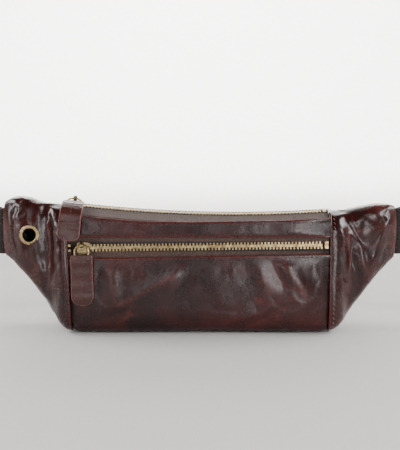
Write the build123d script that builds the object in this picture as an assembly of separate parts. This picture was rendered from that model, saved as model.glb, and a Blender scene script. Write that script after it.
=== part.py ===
from build123d import *
import math
import os

# A small leather waist pack: a long body with two zips, a tapered wing at each end,
# and a webbing strap that closes behind it in a side-release buckle. Millimetres.
# X runs along the bag, the front faces -Y, +Z is up, and the origin is on the flat base.

# ---- driving dimensions ----
LEATHER = 1.8              # thickness of the body leather
SEAM_LEFT = -110.2         # X of the two raised end seams
SEAM_RIGHT = 107.0
BINDING = 2.2              # width of a seam binding along X
BASE_Z = 0.0
WINDOW_TOP = 81.3          # lower edge of the upper band, above the pocket zip
WINDOW_BOTTOM = 66.0       # folded top edge of the pocket panel at X = 0
WINDOW_TILT = 1.0          # that edge climbs to the right, in degrees
BACK_FOLD = 10.0           # height where the base leather meets the back panel

ZIP_RADIUS = 1150.0        # the top zip sags along an arc, lowest at ZIP_LOW_X
ZIP_LOW_X = 30.0
ZIP_LOW_Z = 97.5
ZIP_Y = -1.0
ZIP_LEAN = 14.0            # the top chain leans forward, in degrees
POCKET_ZIP_Y = -20.0
POCKET_ZIP_Z = 73.5        # at X = 0
POCKET_TILT = 0.7          # the pocket zip climbs to the right, in degrees

TAPE = 0.6                 # zip tape thickness
TAPE_GAP = 1.5             # from the chain's centre to each tape edge
TOOTH_PITCH = 2.8
TOOTH_LENGTH = 1.3         # along the chain
TOOTH_REACH = 0.9          # how far a head passes the chain's centre
CHAIN_HALF = 2.9           # half of the chain's width
CHAIN_THICK = 2.2
CHAIN_END = 101.0          # X of the last tooth
STOP_X = 103.7             # X of the bottom stops
MAIN_SLIDER_X = -103.2
POCKET_SLIDER_X = -95.3
SLIDER_LENGTH = 11.0
PLATE_IN = 1.45            # inner and outer faces of a slider plate
PLATE_OUT = 2.65

WIRE = 0.75                # radius of the pull ring's wire
RING_HALF = 5.7            # half of the ring's width, to the wire's centre
RING_DROP = 10.2           # from the bail's hole to the ring's straight bar
TAB_WIDTH = 18.5
TAB_THICK = 2.6
TAB_NECK = 8.8

EYELET_X = -140.7
EYELET_Z = 82.3
EYELET_HOLE = 5.5
EYELET_OUTER = 8.25

WEB_WIDTH = 38.0
WEB_THICK = 1.8
STRAP_Y = 112.0            # the strap's back run
BUCKLE_HALF = 23.2         # half of the buckle's height
BUCKLE_Z = BUCKLE_HALF

os.makedirs("parts", exist_ok=True)


# ---- helpers ----
def save(name, *shapes):
    """Writes one node, of one solid or of several separate ones."""
    solids = [solid for shape in shapes for solid in shape.solids()]
    export_step(solids[0] if len(solids) == 1 else Compound(children=solids), f"parts/{name}.step")
    print(f"{name}: {len(solids)} solid(s), {sum(s.volume for s in solids):.1f} mm3")


def strip(points, radii, thickness, side=Side.LEFT):
    """A flat band of one thickness along a rounded line."""
    line = FilletPolyline(*points, radius=radii) if radii else Polyline(*points)
    return Face(line.wire().offset_2d(thickness, kind=Kind.ARC, side=side, closed=True))


def at_x(face, x):
    """Stands a face drawn as (Y, Z) in the plane X = x."""
    return Plane(origin=(x, 0, 0), x_dir=(0, 1, 0), z_dir=(1, 0, 0)) * face


def along_x(face, start, end):
    return extrude(at_x(face, start), end - start, dir=(1, 0, 0))


def block(x, y, z):
    """A box from three (low, high) pairs."""
    centre = [(low + high) / 2 for low, high in (x, y, z)]
    return Pos(*centre) * Box(x[1] - x[0], y[1] - y[0], z[1] - z[0])


BODY_LEFT = SEAM_LEFT + BINDING / 2
BODY_RIGHT = SEAM_RIGHT - BINDING / 2
BODY_SLAB = block((BODY_LEFT, BODY_RIGHT), (-80, 80), (-10, 160))
ZIP_AXIS = Axis((ZIP_LOW_X, ZIP_Y, ZIP_LOW_Z + ZIP_RADIUS), (0, 1, 0))


def zip_angle(x):
    """The turn about the zip's arc that brings a piece from its lowest point to x."""
    return math.degrees(math.asin((ZIP_LOW_X - x) / ZIP_RADIUS))


def around_zip(face, margin=4.0):
    """Sweeps a (Y, Z) face, drawn at the zip's lowest point, along the zip's arc."""
    start = zip_angle(BODY_RIGHT + margin)
    end = zip_angle(BODY_LEFT - margin)
    turned = at_x(face, ZIP_LOW_X).rotate(ZIP_AXIS, start)
    return revolve(turned, ZIP_AXIS, revolution_arc=end - start) & BODY_SLAB


# Each zip has a local frame: x along the chain, y across it, and z out of the bag.
MAIN_FRAME = Plane(
    origin=(ZIP_LOW_X, ZIP_Y, ZIP_LOW_Z),
    x_dir=(1, 0, 0),
    z_dir=(0, -math.sin(math.radians(ZIP_LEAN)), math.cos(math.radians(ZIP_LEAN))),
)
POCKET_FRAME = Plane(
    origin=(0, POCKET_ZIP_Y, POCKET_ZIP_Z),
    x_dir=(math.cos(math.radians(POCKET_TILT)), 0, math.sin(math.radians(POCKET_TILT))),
    z_dir=(0, -1, 0),
)


def on_main(shape, x):
    return (MAIN_FRAME * shape).rotate(ZIP_AXIS, zip_angle(x))


def on_pocket(shape, x):
    return POCKET_FRAME * (Pos(x, 0, 0) * shape)


# ---- body leather ----
def pocket_panel():
    """Front pocket leather, which also wraps under the bag as its flat base."""
    outer = [(21.0, BACK_FOLD), (20.2, BASE_Z), (-19.4, BASE_Z), (-24.6, 24), (-23.8, 48), (-22.4, 76)]
    panel = along_x(strip(outer, [7, 10, 30, 60], LEATHER, Side.RIGHT), BODY_LEFT, BODY_RIGHT)
    above = Pos(0, 0, WINDOW_BOTTOM + 20) * Rot(0, -WINDOW_TILT, 0) * Box(300, 100, 40)
    return panel - above


def upper_band():
    """Upright leather between the two zips."""
    panel = around_zip(strip([(-22.4, 60), (-22.4, 93.2)], None, LEATHER, Side.RIGHT))
    return panel & block((-150, 150), (-60, 0), (WINDOW_TOP, 150))


def back_panel():
    outer = [(20.6, -4), (22.0, 30), (20.0, 62), (15.5, 84), (11.9, 94.5)]
    panel = around_zip(strip(outer, [150, 100, 60], LEATHER, Side.LEFT))
    return panel & block((-150, 150), (0, 60), (BACK_FOLD + 0.3, 150))


def pocket_lining():
    return along_x(strip([(-15, 79), (-15, 4)], None, 0.5), BODY_LEFT, BODY_RIGHT)


def main_lining():
    line = [(-13.5, 86), (-13.5, 3.0), (16.6, 3.0), (17.2, 56), (12.2, 84)]
    return along_x(strip(line, [6, 6, 20], 0.5), BODY_LEFT, BODY_RIGHT)


save("pocket_panel", pocket_panel())
save("upper_band", upper_band())
save("back_panel", back_panel())
save("pocket_lining", pocket_lining())
save("main_lining", main_lining())


# ---- wings ----
# A section is drawn as (depth, height) shares: the body's outline at the seam,
# and a flatter lens at the tip.
BODY_FRONT = [(0, 0), (0.57, 0.003), (0.9, 0.085), (1, 0.25), (0.97, 0.45), (0.915, 0.65),
              (0.915, 0.865), (0.565, 0.957), (0, 1)]
BODY_BACK = [(0, 0), (0.68, 0.003), (0.93, 0.085), (1, 0.28), (0.93, 0.57), (0.76, 0.76),
             (0.58, 0.88), (0.42, 0.96), (0, 1)]
TIP_SHAPE = [(0, 0), (0.7, 0.04), (0.9, 0.12), (0.98, 0.28), (1, 0.5), (0.98, 0.72),
             (0.9, 0.88), (0.7, 0.96), (0, 1)]
MIDDLE_Y = 0.5
# X from the origin, bottom, top, front and back depth, and how far the shape is the tip's
LEFT_STATIONS = [
    (-111.3, 0.0, 107.0, 25.0, 21.5, 0.0),
    (-119, 7.0, 107.0, 21.5, 18.5, 0.3),
    (-127, 19.0, 108.5, 15.6, 15.5, 0.6),
    (-138, 37.0, 111.0, 14.8, 12.0, 0.85),
    (-148, 49.0, 113.0, 13.9, 9.0, 1.0),
    (-156, 58.0, 111.5, 9.5, 7.0, 1.0),
    (-161.5, 62.5, 108.0, 5.5, 5.5, 1.0),
]
RIGHT_STATIONS = [
    (108.1, 0.0, 101.3, 25.0, 21.5, 0.0),
    (118, 6.0, 102.2, 22.0, 18.5, 0.3),
    (127, 19.0, 104.0, 16.5, 15.5, 0.6),
    (138, 36.0, 106.0, 16.0, 12.0, 0.85),
    (148, 48.0, 107.4, 14.5, 9.0, 1.0),
    (156, 56.5, 106.8, 9.5, 7.0, 1.0),
    (161.5, 61.0, 105.5, 5.5, 5.5, 1.0),
]


def side_points(station, front, inset):
    """The (Y, Z) points of one side of a wing section, inset from its outer face."""
    _, low, high, front_depth, back_depth, tip = station
    shape = BODY_FRONT if front else BODY_BACK
    depth = (front_depth if front else back_depth) - inset
    bottom = max(low + inset, BASE_Z)
    height = high - inset - bottom
    sign = -1 if front else 1
    points = []
    for (body_y, body_z), (tip_y, tip_z) in zip(shape, TIP_SHAPE):
        y = body_y + (tip_y - body_y) * tip
        z = body_z + (tip_z - body_z) * tip
        points.append((MIDDLE_Y + sign * depth * y, bottom + height * z))
    return points


def side_face(station, front):
    """One leather side of a wing, cut across."""
    outer = side_points(station, front, 0)
    inner = side_points(station, front, LEATHER)
    edges = [Spline(*outer), Line(outer[-1], inner[-1]), Spline(*inner), Line(inner[0], outer[0])]
    return at_x(make_face(edges).face(), station[0])


def wing_side(stations, front):
    return loft([side_face(station, front) for station in stations])


def eyelet_face_y():
    return MIDDLE_Y - 15.4


def turned_ring(inner, outer, start, end):
    """A ring about the eyelet's axis, between two Y values."""
    profile = Pos((inner + outer) / 2, (start + end) / 2) * Rectangle(outer - inner, end - start)
    ring = revolve(profile, Axis((0, 0, 0), (0, 1, 0)), revolution_arc=360)
    return Pos(EYELET_X, 0, EYELET_Z) * ring


def eyelet():
    face = eyelet_face_y()
    flange = turned_ring(EYELET_HOLE, EYELET_OUTER, face - 0.6, face + 0.6)
    barrel = turned_ring(EYELET_HOLE, EYELET_HOLE + 0.6, face, face + 4.4)
    front_edges = (flange + barrel).edges().filter_by(GeomType.CIRCLE).sort_by(Axis.Y)[0:2]
    return fillet(front_edges, 0.5)


def eyelet_washer():
    face = eyelet_face_y()
    return turned_ring(EYELET_HOLE + 0.65, EYELET_OUTER, face + 3.4, face + 4.2)


def eyelet_room():
    """What the eyelet and its washer take out of the wing leather."""
    face = eyelet_face_y()
    seats = ((EYELET_OUTER + 0.05, -2, 0.65), (EYELET_HOLE + 0.65, -2, 8), (EYELET_OUTER + 0.05, 3.35, 8))
    room = Part()
    for radius, start, end in seats:
        seat = Rot(90, 0, 0) * Cylinder(radius, end - start)
        room += Pos(EYELET_X, face + (start + end) / 2, EYELET_Z) * seat
    return room


def section_face(station, inset):
    front = side_points(station, True, inset)
    back = side_points(station, False, inset)
    return make_face([Spline(*front), Spline(*back)]).face()


def seam_binding(station, x):
    ring = section_face(station, -0.8) - section_face(station, LEATHER)
    return along_x(ring, x - BINDING / 2, x + BINDING / 2)


save("left_wing_front", wing_side(LEFT_STATIONS, True) - eyelet_room())
save("left_wing_back", wing_side(LEFT_STATIONS, False))
save("right_wing_front", wing_side(RIGHT_STATIONS, True))
save("right_wing_back", wing_side(RIGHT_STATIONS, False))
save("left_seam_binding", seam_binding(LEFT_STATIONS[0], SEAM_LEFT))
save("right_seam_binding", seam_binding(RIGHT_STATIONS[0], SEAM_RIGHT))
save("eyelet", eyelet())
save("eyelet_washer", eyelet_washer())


# ---- zips ----
def tooth(side):
    """One brass tooth of the row on the given side, clamped over its tape edge."""
    body = Pos(0, side * (CHAIN_HALF - TOOTH_REACH) / 2, 0) * Box(
        TOOTH_LENGTH, CHAIN_HALF + TOOTH_REACH, CHAIN_THICK)
    slot = Pos(0, side * (TAPE_GAP + 2), 0) * Box(TOOTH_LENGTH + 1, 4, TAPE)
    return body - slot


def top_stop(side):
    """A small clamp over the end of one tape's edge."""
    inner = TAPE_GAP - 0.45
    body = Pos(0, side * (inner + CHAIN_HALF) / 2, 0) * Box(2.2, CHAIN_HALF - inner, CHAIN_THICK)
    slot = Pos(0, side * (TAPE_GAP + 2), 0) * Box(3, 4, TAPE)
    return body - slot


def bottom_stop():
    body = fillet(Box(3.0, 2 * CHAIN_HALF, CHAIN_THICK + 0.2).edges().filter_by(Axis.Z), 0.6)
    for side in (-1, 1):
        body -= Pos(0, side * (TAPE_GAP + 2), 0) * Box(4, 4, TAPE)
    return body


def tooth_row(place, side, first_x):
    """A row of teeth; the far row starts half a pitch later, so that the two mesh."""
    start = first_x + (TOOTH_PITCH / 2 if side > 0 else 0)
    count = int((CHAIN_END - start) / TOOTH_PITCH) + 1
    return [place(tooth(side), start + i * TOOTH_PITCH) for i in range(count)]


def local_to_section(v, w):
    """A point of the top zip's local frame as (Y, Z) at the zip's lowest point."""
    lean = math.radians(ZIP_LEAN)
    y = ZIP_Y + v * math.cos(lean) - w * math.sin(lean)
    z = ZIP_LOW_Z + v * math.sin(lean) + w * math.cos(lean)
    return (y, z)


def main_tape(points, radius, side):
    """A tape of the top zip, its line being the face that looks into the bag."""
    return around_zip(strip(points, radius, TAPE, side))


TAPE_STRAIGHT = 5.9        # flat part of a tape, where the slider runs
FRONT_TAPE = [
    local_to_section(-TAPE_GAP, -TAPE / 2),
    local_to_section(-TAPE_STRAIGHT, -TAPE / 2),
    (-19.4, 92.1),
    (-19.4, 86.5),
]
BACK_TAPE = [
    local_to_section(TAPE_GAP, -TAPE / 2),
    local_to_section(TAPE_STRAIGHT, -TAPE / 2),
    (8.8, 95.8),
    (11.1, 87.5),
]
save("main_tape_front", main_tape(FRONT_TAPE, [2, 1.5], Side.RIGHT))
save("main_tape_back", main_tape(BACK_TAPE, [1.5, 2], Side.LEFT))
for name, side in (("main_teeth_front", -1), ("main_teeth_back", 1)):
    save(name, *tooth_row(on_main, side, MAIN_SLIDER_X - 1.0))
save("main_top_stops", *[on_main(top_stop(side), MAIN_SLIDER_X - 4.2) for side in (-1, 1)])
save("main_bottom_stop", on_main(bottom_stop(), STOP_X))


def pocket_tape(low, high):
    """A straight tape between two distances from the chain's centre."""
    tape = on_pocket(Pos(0, (low + high) / 2, 0) * Box(260, high - low, TAPE), 0)
    return tape & BODY_SLAB


save("pocket_tape_upper", pocket_tape(TAPE_GAP, 9.6))
save("pocket_tape_lower", pocket_tape(-16.0, -TAPE_GAP))
for name, side in (("pocket_teeth_upper", 1), ("pocket_teeth_lower", -1)):
    save(name, *tooth_row(on_pocket, side, POCKET_SLIDER_X - 1.0))
save("pocket_top_stops", *[on_pocket(top_stop(side), -107.2) for side in (-1, 1)])
save("pocket_bottom_stop", on_pocket(bottom_stop(), STOP_X))

# ---- sliders and pulls, in a zip's local frame ----
BAIL = (-1.4, 3.0, 4.9)    # centre of the bail's hole
half = SLIDER_LENGTH / 2


def slider():
    """Two plates joined by the wedge that parts the teeth, with a bail on the front."""
    outline = make_face(Polyline(
        (-half, -3.6), (-half + 1.8, -5.3), (-1.0, -5.3), (half - 0.8, -4.3), (half, -3.6),
        (half, 3.6), (half - 0.8, 4.3), (-1.0, 5.3), (-half + 1.8, 5.3), (-half, 3.6), close=True))
    rails = outline - Rectangle(3 * SLIDER_LENGTH, 2 * 3.35)
    body = Pos(0, 0, PLATE_IN) * extrude(outline, PLATE_OUT - PLATE_IN)
    body += Pos(0, 0, -PLATE_OUT) * extrude(outline, PLATE_OUT - PLATE_IN)
    body += Pos(0, 0, 0.65) * extrude(rails, 1.0)
    body += Pos(0, 0, -1.65) * extrude(rails, 1.0)
    body += block((-4.8, -2.4), (-0.7, 0.7), (-1.6, 1.6))
    u, v, w = BAIL
    lug = Pos(u, v, w) * Rot(0, 90, 0) * Cylinder(2.3, 2.6)
    lug += block((u - 1.3, u + 1.3), (v - 2.3, v + 1.6), (PLATE_OUT - 0.3, w))
    lug -= Pos(u, v, w) * Rot(0, 90, 0) * Cylinder(1.3, 4)
    return body + lug


def ring_tilt(bar_w):
    """The ring's turn about the bail, so that its bar stands bar_w above the chain."""
    return math.degrees(math.asin((bar_w - BAIL[2]) / RING_DROP))


def pull_ring(bar_w):
    """A wire D with its arc through the bail and its straight bar in the tab."""
    corner = 1.5
    inset = corner * (1 - math.sqrt(0.5))
    half_path = Wire([
        ThreePointArc((0, 0), (RING_HALF * math.sqrt(0.5), RING_HALF * (math.sqrt(0.5) - 1)),
                      (RING_HALF, -RING_HALF)),
        Line((RING_HALF, -RING_HALF), (RING_HALF, -RING_DROP + corner)),
        ThreePointArc((RING_HALF, -RING_DROP + corner), (RING_HALF - inset, -RING_DROP + inset),
                      (RING_HALF - corner, -RING_DROP)),
        Line((RING_HALF - corner, -RING_DROP), (0, -RING_DROP)),
    ])
    half_ring = sweep(Plane(origin=(0, 0, 0), z_dir=(1, 0, 0)) * Circle(WIRE), half_path)
    ring = half_ring + mirror(half_ring, Plane.YZ)
    return Pos(*BAIL) * Rot(-ring_tilt(bar_w), 0, 0) * ring


def bar_place(bar_w):
    """The (v, w) of the ring's straight bar."""
    tilt = math.radians(ring_tilt(bar_w))
    return (BAIL[1] - RING_DROP * math.cos(tilt), BAIL[2] + RING_DROP * math.sin(tilt))


def pull_tab(back_line, radii, bar):
    """A leather tab whose neck wraps the ring's bar; its back face follows (v, w) points."""
    bar_v, bar_w = bar
    profile = strip(back_line, radii, TAB_THICK, Side.RIGHT)
    wide = extrude(at_x(profile, 0), TAB_WIDTH / 2, both=True)
    length = back_line[0][0] - back_line[-1][0]
    outline = Pos(0, bar_v - 1.2 - length / 2) * RectangleRounded(TAB_WIDTH, length, 4.0)
    trimmed = wide & (Pos(0, 0, -60) * extrude(outline, 120))
    neck = block((-TAB_NECK / 2, TAB_NECK / 2), (bar_v - 4, bar_v), (bar_w - 1.6, bar_w + 1.6)) & wide
    eye = Pos(0, bar_v, bar_w) * Rot(0, 90, 0) * Cylinder(1.9, TAB_NECK)
    hole = Pos(0, bar_v, bar_w) * Rot(0, 90, 0) * Cylinder(WIRE + 0.08, 40)
    return Pos(BAIL[0], 0, 0) * (trimmed + neck + eye - hole)


POCKET_BAR_W = 7.0
MAIN_BAR_W = 3.75
pocket_bar = bar_place(POCKET_BAR_W)
main_bar = bar_place(MAIN_BAR_W)
pocket_tab_back = [(pocket_bar[0], 5.7), (-20, 6.1), (-47.0, 5.4)]
main_tab_back = [(main_bar[0], 2.45), (-23.6, 2.6), (-30.6, -19.5)]
save("pocket_slider", on_pocket(slider(), POCKET_SLIDER_X))
save("pocket_pull_ring", on_pocket(pull_ring(POCKET_BAR_W), POCKET_SLIDER_X))
save("pocket_pull_tab", on_pocket(pull_tab(pocket_tab_back, [120], pocket_bar), POCKET_SLIDER_X))
save("main_slider", on_main(slider(), MAIN_SLIDER_X))
save("main_pull_ring", on_main(pull_ring(MAIN_BAR_W), MAIN_SLIDER_X))
save("main_pull_tab", on_main(pull_tab(main_tab_back, [6], main_bar), MAIN_SLIDER_X))

# ---- strap ----
# The strap stands on edge. Its height falls with the distance u, taken slantwise
# back and inwards from the wing tip, until its back run lies just above the base.
SLANT = math.radians(30)
TURN_X = 172.0
FALL = [
    (-60, 83.5), (14, 83.0), (33, 80), (60, 73), (88, 58),
    (112, 40), (128, 28), (138, BUCKLE_Z), (320, BUCKLE_Z),
]


def fall_band(side):
    """The room between the strap's two edges, as a slab along the slant."""
    half_width = WEB_WIDTH / 2
    upper = [(u, z + half_width) for u, z in FALL]
    lower = [(u, z - half_width) for u, z in reversed(FALL)]
    plane = Plane(
        origin=(side * TURN_X, 0, 0),
        x_dir=(-side * math.sin(SLANT), math.cos(SLANT), 0),
        z_dir=(math.cos(SLANT), side * math.sin(SLANT), 0),
    )
    face = make_face(Polyline(*upper, *lower, close=True))
    return extrude(plane * face, 400, both=True)


def strap(side, end_points, end_radii):
    """One half of the strap, from inside the wing to its end at the buckle."""
    points = [(side * 147, -0.4), (side * TURN_X, -0.4), (side * 177, 50), (side * 105, inner_y)]
    line = FilletPolyline(*points, *end_points, radius=[9, 35, 60, *end_radii]).wire()
    print(f"strap length on side {side}: {line.length:.0f} mm")
    outward = Side.LEFT if side > 0 else Side.RIGHT
    thick = line.offset_2d(WEB_THICK, kind=Kind.ARC, side=outward, closed=True)
    wall = extrude(Face(thick), 140, dir=(0, 0, 1))
    return wall & fall_band(side)


LOOP = 4.2                 # between the inner faces of a strap that turns back round a bar
BAR = 1.7                  # radius of those bars
FEMALE_BAR_X = -31.0
MALE_BAR_X = 17.0
inner_y = STRAP_Y - LOOP / 2
outer_y = STRAP_Y + LOOP / 2


def turn_points(bar_x, direction, tail):
    """The way round a bar and back; direction is the strap's way along X as it arrives."""
    tip = bar_x + direction * LOOP / 2
    return [(tip, inner_y), (tip, outer_y), (bar_x - direction * tail, outer_y)]


bend = LOOP / 2 - 0.02
save("left_webbing", strap(-1, turn_points(FEMALE_BAR_X, 1, 28), [bend, bend]))
save("right_webbing", strap(1, turn_points(MALE_BAR_X, -1, 60), [bend, bend]))

# ---- buckle, drawn about the middle of its mouth ----
RAIL_IN = WEB_WIDTH / 2 + 0.6
CAVITY_HALF = 19.3
CAVITY_THICK = 3.4         # half of the socket's thickness
FEMALE_LENGTH = 26.0
MALE_GAP = 1.0             # between the two halves when they are shut
ARM_PIVOT_X = 3.0
ARM_PIVOT_Z = 14.0


def in_buckle(shape):
    return Pos(0, STRAP_Y, BUCKLE_Z) * shape


def bar_at(x):
    return Pos(x, 0, 0) * Cylinder(BAR, 2 * RAIL_IN + 1)


def rails(start, end):
    both = Part()
    for side in (-1, 1):
        low, high = sorted((side * RAIL_IN, side * BUCKLE_HALF))
        both += block((start, end), (-3, 3), (low, high))
    return both


def buckle_female():
    shell = block((-FEMALE_LENGTH, 0), (-5.4, 5.4), (-BUCKLE_HALF, BUCKLE_HALF))
    shell = fillet(shell.edges().filter_by(Axis.X), 3.5)
    shell -= block((-FEMALE_LENGTH + 1.5, 5), (-CAVITY_THICK, CAVITY_THICK), (-CAVITY_HALF, CAVITY_HALF))
    shell -= block((-22.4, -6), (-CAVITY_THICK, CAVITY_THICK), (-40, 40))
    return shell + rails(FEMALE_BAR_X - 2.5, -FEMALE_LENGTH + 1) + bar_at(FEMALE_BAR_X)


def buckle_male():
    base = block((MALE_GAP, 9), (-4.2, 4.2), (-BUCKLE_HALF, BUCKLE_HALF))
    base = fillet(base.edges().filter_by(Axis.X), 3.0)
    for side in (-1, 1):
        pivot = side * ARM_PIVOT_Z
        base -= block((0, ARM_PIVOT_X), (-3, 3), (pivot - 2.9, pivot + 2.9))
        base -= Pos(ARM_PIVOT_X, 0, pivot) * Rot(90, 0, 0) * Cylinder(2.6, 6)
    tongue = block((-23.5, MALE_GAP + 1), (-2.2, 2.2), (-4, 4))
    end_bar = block((25.5, 29), (-BAR, BAR), (-RAIL_IN - 1, RAIL_IN + 1))
    return base + tongue + rails(8, 29) + bar_at(MALE_BAR_X) + end_bar


def buckle_arm(side):
    """A springy arm with the barb that the fingers squeeze, on the upper or lower side."""
    outline = make_face(Polyline(
        (ARM_PIVOT_X, 12), (-21, 12), (-22, 13.5), (-20.5, 18.2), (-15, 22.9), (-8.2, 22.9),
        (-6.6, 21), (-6.6, 16), (ARM_PIVOT_X, 16), close=True))
    arm = extrude(Plane.XZ * outline, 2.6, both=True)
    arm += Pos(ARM_PIVOT_X, 0, ARM_PIVOT_Z) * Rot(90, 0, 0) * Cylinder(2.2, 5.2)
    return arm if side > 0 else mirror(arm, Plane.XY)


def web_keeper():
    """A plastic loop that holds the strap's tail against the strap."""
    keeper = block((62, 70), (-6.0, 6.0), (-21.4, 21.4))
    keeper = fillet(keeper.edges().filter_by(Axis.X), 1.5)
    return keeper - block((60, 72), (-4.3, 4.3), (-19.4, 19.4))


save("buckle_female", in_buckle(buckle_female()))
save("buckle_male", in_buckle(buckle_male()))
save("buckle_arm_upper", in_buckle(buckle_arm(1)))
save("buckle_arm_lower", in_buckle(buckle_arm(-1)))
save("web_keeper", in_buckle(web_keeper()))
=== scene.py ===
import math

import bmesh
import bpy
import numpy as np
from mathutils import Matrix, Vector, noise
from mathutils.bvhtree import BVHTree


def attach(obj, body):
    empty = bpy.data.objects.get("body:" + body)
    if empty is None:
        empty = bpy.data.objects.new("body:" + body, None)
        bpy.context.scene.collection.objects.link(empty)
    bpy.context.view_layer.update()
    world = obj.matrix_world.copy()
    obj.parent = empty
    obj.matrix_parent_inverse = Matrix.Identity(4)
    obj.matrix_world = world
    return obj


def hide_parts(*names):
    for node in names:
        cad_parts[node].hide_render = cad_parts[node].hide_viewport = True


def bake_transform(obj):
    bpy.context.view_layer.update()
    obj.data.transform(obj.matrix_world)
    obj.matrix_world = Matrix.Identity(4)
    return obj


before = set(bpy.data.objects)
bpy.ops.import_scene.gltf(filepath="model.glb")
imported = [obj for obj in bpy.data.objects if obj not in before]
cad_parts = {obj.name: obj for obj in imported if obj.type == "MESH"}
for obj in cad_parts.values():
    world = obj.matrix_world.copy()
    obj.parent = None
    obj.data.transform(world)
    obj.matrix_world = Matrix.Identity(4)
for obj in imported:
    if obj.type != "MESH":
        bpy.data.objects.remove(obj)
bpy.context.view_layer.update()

# The leather, fabric and webbing of a waist pack, built in millimetres round the CAD frame.
# X runs along the bag, the front faces -Y and the base lies on Z = 0.
MM = 0.001
AHEAD = (0, 1, 0)
BACKWARD = (0, -1, 0)

# body and seams
SEAM_RIGHT = 107.0
LEFT_EDGE = -110.5         # X where the front and back panels start, before the left seam's lean
LEFT_FACE = -107.0         # X where the left seam starts to draw the panels in
LEAN_END = -100.0          # the left seam's lean has faded out by this X
SEAM_TIP_LEFT = -109.9     # X from which the left wing's upright tip is measured
MIDDLE_Y = 0.5             # depth of the seams' and wings' middle plane
BAND_BOTTOM = 81.3
LINING_LEFT = -108.6
LINING_LENGTH = 214.0

# zips
ZIP_RADIUS = 1150.0        # the top zip sags along an arc
ZIP_LOW_X = 30.0
ZIP_LOW_Z = 97.5
ZIP_Y = -1.0
ZIP_LEAN = math.radians(14.0)
POCKET_CHAIN_Z = 73.5
POCKET_TILT = math.radians(0.7)
POCKET_ZIP_Y = -20.0
MAIN_SLIDER_X = -103.2
POCKET_SLIDER_X = -95.3

# pulls: a zip's local frame is u along the chain, v across it and w out of the bag
BAIL_U, BAIL_V, BAIL_W = -1.4, 3.0, 4.9
RING_DROP = 10.2           # from the bail's hole to the ring's straight bar
TAB_WIDTH = 18.5
TAB_THICK = 2.6
TAB_NECK = 8.8
TAB_FOLD = 2.4             # how far a pull's front layer stands up past the bar
TAB_SEWN_FROM = 8.0        # a pull's stitches start this far down from its top
TAB_SEWN_END = 2.4         # and end this far before its lower end
MAIN_BAR_W = 3.75
POCKET_BAR_W = 7.0

# eyelet and strap
EYELET_X = -140.7
EYELET_Z = 82.3
EYELET_CUT = 6.6
STRAP_Y = 112.0
BUCKLE_Z = 23.2
WEB_WIDTH = 38.0
WEB_THICK = 1.8
LOOP = 4.2                 # room between the two layers of a strap that turns back
SLANT = math.radians(30)   # the strap's height falls along this slant, back and inwards
TURN_X = 172.0
# (distance along the slant, height of the strap's middle)
FALL = [
    (-60, 83.5), (14, 83.0), (33, 80), (60, 73), (88, 58),
    (112, 40), (128, 28), (138, BUCKLE_Z), (320, BUCKLE_Z),
]


# ---- helpers ----
def mesh_object(name, points, faces):
    """A mesh object from points in millimetres."""
    mesh = bpy.data.meshes.new(name)
    mesh.from_pydata([tuple(c * MM for c in p) for p in points], [], faces)
    mesh.validate()
    mesh.update()
    mesh.polygons.foreach_set("use_smooth", [True] * len(mesh.polygons))
    obj = bpy.data.objects.new(name, mesh)
    bpy.context.collection.objects.link(obj)
    return obj


def grid(name, columns, rows, place):
    """A sheet of quads: place(column share, row share) gives each point."""
    points = [place(i / columns, j / rows) for i in range(columns + 1) for j in range(rows + 1)]
    faces = []
    for i in range(columns):
        for j in range(rows):
            a = i * (rows + 1) + j
            faces.append((a, a + rows + 1, a + rows + 2, a + 1))
    return mesh_object(name, points, faces)


def tube_faces(rings, sides, first=0, closed=False):
    """Quads between neighbouring rings of points. An open tube also gets its two end caps."""
    faces = []
    for i in range(rings if closed else rings - 1):
        here = first + i * sides
        ahead = first + (i + 1) % rings * sides
        for k in range(sides):
            after = (k + 1) % sides
            faces.append((here + k, here + after, ahead + after, ahead + k))
    if not closed:
        last = first + (rings - 1) * sides
        faces.append(tuple(first + k for k in reversed(range(sides))))
        faces.append(tuple(last + k for k in range(sides)))
    return faces


def edit_mesh(obj, change):
    """Lets change(shape) work on the piece's mesh."""
    shape = bmesh.new()
    shape.from_mesh(obj.data)
    change(shape)
    shape.to_mesh(obj.data)
    shape.free()


def weld(obj):
    """Joins the two ends of a sheet that closes on itself."""
    edit_mesh(obj, lambda shape: bmesh.ops.remove_doubles(shape, verts=shape.verts, dist=0.01 * MM))


CLOTH_FRAMES = 18


def settle(obj, freedom, excess, cap, bending):
    """Lets a shell of leather buckle and sag as cloth between its held edges, and keeps the result.

    freedom gives each point's share of free movement, excess how much larger the leather is cut
    than its frame, and cap the furthest that a point may move, in millimetres.
    """
    scene = bpy.context.scene
    start = np.array([v.co for v in obj.data.vertices])
    held = obj.vertex_groups.new(name="held")
    for index, share in enumerate(freedom):
        held.add([index], 1.0 - 0.93 * share, "REPLACE")
    cloth = obj.modifiers.new("cloth", "CLOTH")
    settings = cloth.settings
    settings.quality = 6
    settings.mass = 0.2
    settings.tension_stiffness = 25
    settings.compression_stiffness = 25
    settings.shear_stiffness = 12
    settings.bending_stiffness = bending
    settings.shrink_min = -excess
    settings.vertex_group_mass = "held"
    settings.pin_stiffness = 0.6
    settings.effector_weights.gravity = 0.3
    cloth.collision_settings.use_collision = False
    cloth.point_cache.frame_end = CLOTH_FRAMES
    for frame_number in range(1, CLOTH_FRAMES + 1):
        scene.frame_set(frame_number)
    seen = obj.evaluated_get(bpy.context.evaluated_depsgraph_get())
    moved = np.array([v.co for v in seen.data.vertices])
    obj.modifiers.remove(cloth)
    scene.frame_set(1)
    change = moved - start
    size = np.linalg.norm(change, axis=1, keepdims=True)
    limit = cap * MM * np.array(freedom)[:, None] ** 0.5
    scale = limit * np.tanh(size / np.maximum(limit, 1e-9)) / np.maximum(size, 1e-9)
    final = start + change * np.where(size > 0, scale, 0)
    obj.data.vertices.foreach_set("co", final.ravel())
    obj.data.update()


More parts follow.
